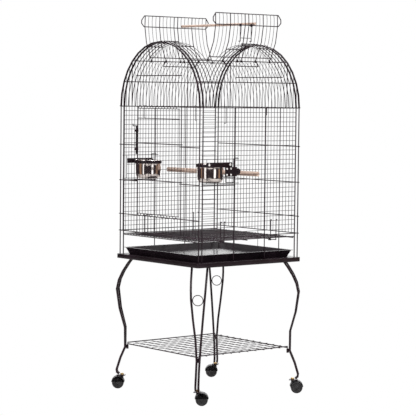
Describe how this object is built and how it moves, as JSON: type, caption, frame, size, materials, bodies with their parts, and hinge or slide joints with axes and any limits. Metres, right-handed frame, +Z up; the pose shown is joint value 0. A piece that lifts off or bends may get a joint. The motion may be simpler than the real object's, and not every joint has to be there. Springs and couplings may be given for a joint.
{
  "type": "bird cage on stand",
  "caption": "Arched wire bird cage with an open play top, side feeder doors and slide-out tray, on a rolling wire stand with a shelf.",
  "frame": {"origin": "on the floor, under the middle of the cage", "axes": "+Z up, -Y towards the main door, +X to the right of someone facing it"},
  "size_m": [0.5534, 0.5602, 1.4556],
  "materials": {
    "black_sheet": "satin black powder coat",
    "stand_rod": "satin black powder coat",
    "brass_nut": "plain brass",
    "caster_plastic": "moulded black",
    "wheel_plastic": "moulded black",
    "cup_steel": "polished stainless steel",
    "perch_wood": "sanded bare hardwood",
    "feeder_black": "satin black powder coat",
    "bolt_black": "satin black",
    "latch_black": "satin black",
    "cage_wire": "satin black powder coat"
  },
  "bodies": {
    "cage_and_stand": {"base": "black_sheet", "leg_front_left": "stand_rod", "leg_front_right": "stand_rod", "leg_rear_left": "stand_rod", "leg_rear_right": "stand_rod", "shelf": "cage_wire", "stem_nuts": "brass_nut", "front_panel": "cage_wire", "back_panel": "cage_wire", "left_panel": "cage_wire", "right_panel": "cage_wire", "front_arch": "cage_wire", "back_arch": "cage_wire", "roof_front": "cage_wire", "roof_back": "cage_wire", "roof_left": "cage_wire", "roof_right": "cage_wire", "left_grate_hooks": "cage_wire", "right_grate_hooks": "cage_wire", "inner_perch": "perch_wood"},
    "main_door": {"main_door": "cage_wire"},
    "main_door_latch": {"main_door_latch": "latch_black"},
    "feeder_door_right": {"feeder_door_right": "feeder_black"},
    "feeder_door_left": {"feeder_door_left": "feeder_black"},
    "feeder_bolt_right": {"feeder_bolt_right": "bolt_black"},
    "feeder_bolt_left": {"feeder_bolt_left": "bolt_black"},
    "cup_right": {"cup_right": "cup_steel"},
    "cup_left": {"cup_left": "cup_steel"},
    "roof_flap_right": {"flap_right": "cage_wire"},
    "roof_flap_left": {"flap_left": "cage_wire"},
    "closing_bail": {"closing_bail": "cage_wire"},
    "top_perch": {"top_perch": "perch_wood"},
    "tray": {"tray": "black_sheet"},
    "grate": {"grate": "cage_wire"},
    "caster_front_left": {"caster_front_left": "caster_plastic"},
    "wheels_front_left": {"wheels_front_left": "wheel_plastic"},
    "caster_front_right": {"caster_front_right": "caster_plastic"},
    "wheels_front_right": {"wheels_front_right": "wheel_plastic"},
    "caster_rear_right": {"caster_rear_right": "caster_plastic"},
    "wheels_rear_right": {"wheels_rear_right": "wheel_plastic"},
    "caster_rear_left": {"caster_rear_left": "caster_plastic"},
    "wheels_rear_left": {"wheels_rear_left": "wheel_plastic"}
  },
  "joints": [
    {"name": "main_door_hinge", "type": "hinge", "parent": "cage_and_stand", "child": "main_door", "pos_m": [0.13556, -0.2445, 0.895], "axis": [0, 0, 1], "range_deg": [0, 110]},
    {"name": "main_latch_turn", "type": "hinge", "parent": "main_door", "child": "main_door_latch", "pos_m": [-0.13056, -0.2536, 0.975], "axis": [0, 0, 1], "range_deg": [0, 90]},
    {"name": "feeder_door_right_hinge", "type": "hinge", "parent": "cage_and_stand", "child": "feeder_door_right", "pos_m": [0.244, -0.2285, 0.867], "axis": [0, 0, -1], "range_deg": [0, 100]},
    {"name": "feeder_door_left_hinge", "type": "hinge", "parent": "cage_and_stand", "child": "feeder_door_left", "pos_m": [-0.244, -0.2285, 0.867], "axis": [0, 0, 1], "range_deg": [0, 100]},
    {"name": "feeder_bolt_right_slide", "type": "slide", "parent": "feeder_door_right", "child": "feeder_bolt_right", "axis": [0, -1, 0], "range_m": [0, 0.027]},
    {"name": "feeder_bolt_left_slide", "type": "slide", "parent": "feeder_door_left", "child": "feeder_bolt_left", "axis": [0, -1, 0], "range_m": [0, 0.027]},
    {"name": "cup_right_lift", "type": "slide", "parent": "feeder_door_right", "child": "cup_right", "axis": [0, 0, 1], "range_m": [0, 0.019]},
    {"name": "cup_left_lift", "type": "slide", "parent": "feeder_door_left", "child": "cup_left", "axis": [0, 0, 1], "range_m": [0, 0.019]},
    {"name": "roof_flap_right_hinge", "type": "hinge", "parent": "cage_and_stand", "child": "roof_flap_right", "pos_m": [0.17388, 0, 1.27688], "axis": [0, -1, 0], "range_deg": [0, 81]},
    {"name": "roof_flap_left_hinge", "type": "hinge", "parent": "cage_and_stand", "child": "roof_flap_left", "pos_m": [-0.17388, 0, 1.27688], "axis": [0, 1, 0], "range_deg": [0, 81]},
    {"name": "top_perch_slide", "type": "slide", "parent": "cage_and_stand", "child": "top_perch", "axis": [0.9983, 0, 0.0576], "range_m": [0, 1.3]},
    {"name": "closing_bail_swing", "type": "hinge", "parent": "roof_flap_right", "child": "closing_bail", "pos_m": [0.22062, 0, 1.41112], "axis": [0, -1, 0], "range_deg": [0, 85]},
    {"name": "tray_slide", "type": "slide", "parent": "cage_and_stand", "child": "tray", "axis": [0, -1, 0], "range_m": [0, 0.44]},
    {"name": "grate_slide", "type": "slide", "parent": "cage_and_stand", "child": "grate", "axis": [0, -1, 0], "range_m": [0, 0.44]},
    {"name": "caster_front_left_swivel", "type": "hinge", "parent": "cage_and_stand", "child": "caster_front_left", "pos_m": [-0.236, -0.236, 0.053], "axis": [0, 0, 1], "continuous": true},
    {"name": "wheels_front_left_spin", "type": "hinge", "parent": "caster_front_left", "child": "wheels_front_left", "pos_m": [-0.24607, -0.24843, 0.023], "axis": [0.7771, -0.6293, 0], "continuous": true},
    {"name": "caster_front_right_swivel", "type": "hinge", "parent": "cage_and_stand", "child": "caster_front_right", "pos_m": [0.236, -0.236, 0.053], "axis": [0, 0, 1], "continuous": true},
    {"name": "wheels_front_right_spin", "type": "hinge", "parent": "caster_front_right", "child": "wheels_front_right", "pos_m": [0.24607, -0.22357, 0.023], "axis": [-0.7771, 0.6293, 0], "continuous": true},
    {"name": "caster_rear_right_swivel", "type": "hinge", "parent": "cage_and_stand", "child": "caster_rear_right", "pos_m": [0.236, 0.236, 0.053], "axis": [0, 0, 1], "continuous": true},
    {"name": "wheels_rear_right_spin", "type": "hinge", "parent": "caster_rear_right", "child": "wheels_rear_right", "pos_m": [0.24607, 0.24843, 0.023], "axis": [-0.7771, 0.6293, 0], "continuous": true},
    {"name": "caster_rear_left_swivel", "type": "hinge", "parent": "cage_and_stand", "child": "caster_rear_left", "pos_m": [-0.236, 0.236, 0.053], "axis": [0, 0, 1], "continuous": true},
    {"name": "wheels_rear_left_spin", "type": "hinge", "parent": "caster_rear_left", "child": "wheels_rear_left", "pos_m": [-0.24607, 0.22357, 0.023], "axis": [0.7771, -0.6293, 0], "continuous": true}
  ],
  "couplings": [
    {"joint": "roof_flap_left_hinge", "follows": "roof_flap_right_hinge", "ratio": 1},
    {"joint": "top_perch_slide", "follows": "roof_flap_right_hinge", "m_per_rad": 0.919}
  ]
}
